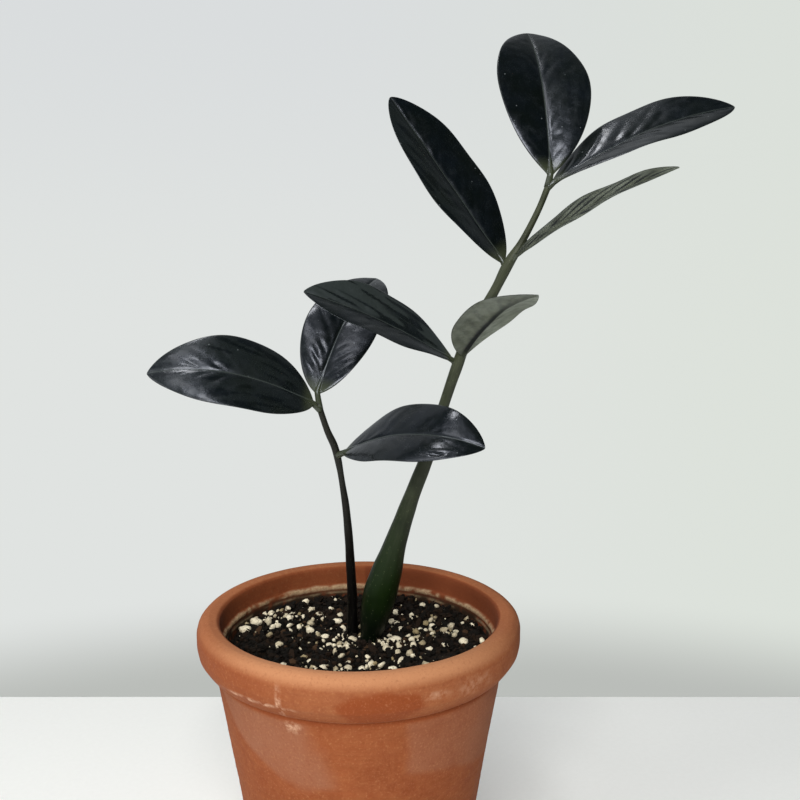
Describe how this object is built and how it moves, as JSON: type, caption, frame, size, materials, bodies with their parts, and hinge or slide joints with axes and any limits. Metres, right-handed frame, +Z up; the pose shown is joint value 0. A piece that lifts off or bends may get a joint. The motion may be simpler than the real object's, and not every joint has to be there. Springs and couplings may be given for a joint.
{
  "type": "potted zz plant",
  "caption": "Young dark-leaved zz plant with a thick main stem and a thin side stem, growing in potting mix with perlite in a clay flowerpot.",
  "frame": {"origin": "middle of the footprint of the whole object's bounding box, on the surface that the pot stands on; because the plant leans to +X, the pot's axis stands 33 mm to -X of it, and the origin still lies on the pot's foot", "axes": "+Z up along the pot's axis; +X the way the main stem leans; -Y towards a viewer who sees the front"},
  "size_m": [0.2388, 0.14, 0.3728],
  "materials": {
    "clay": "matte",
    "potting_mix": "matte",
    "perlite": "matte",
    "leaf": "gloss",
    "stem_olive": "satin",
    "stem_black": "satin",
    "tuber": "matte",
    "root": "matte"
  },
  "bodies": {
    "root": {"pot": "clay", "soil": "potting_mix", "rhizome": "tuber", "main_stem": "stem_olive", "side_stem": "stem_black", "root_1": "root", "root_2": "root", "root_3": "root", "root_4": "root", "root_5": "root", "root_6": "root", "leaflet_top": "leaf", "leaflet_upper_right": "leaf", "leaflet_lower_right": "leaf", "leaflet_upper_left": "leaf", "leaflet_middle_left": "leaf", "leaflet_middle_right": "leaf", "leaflet_side_left": "leaf", "leaflet_side_middle": "leaf", "leaflet_side_right": "leaf", "perlite_01": "perlite", "perlite_02": "perlite", "perlite_03": "perlite", "perlite_04": "perlite", "perlite_05": "perlite", "perlite_06": "perlite", "perlite_07": "perlite", "perlite_08": "perlite", "perlite_09": "perlite", "perlite_10": "perlite", "perlite_11": "perlite", "perlite_12": "perlite", "perlite_13": "perlite", "perlite_14": "perlite", "perlite_15": "perlite", "perlite_16": "perlite", "perlite_17": "perlite", "perlite_18": "perlite", "perlite_19": "perlite", "perlite_20": "perlite", "perlite_21": "perlite", "perlite_22": "perlite", "perlite_23": "perlite", "perlite_24": "perlite", "perlite_25": "perlite", "perlite_26": "perlite", "perlite_27": "perlite", "perlite_28": "perlite"}
  },
  "joints": []
}
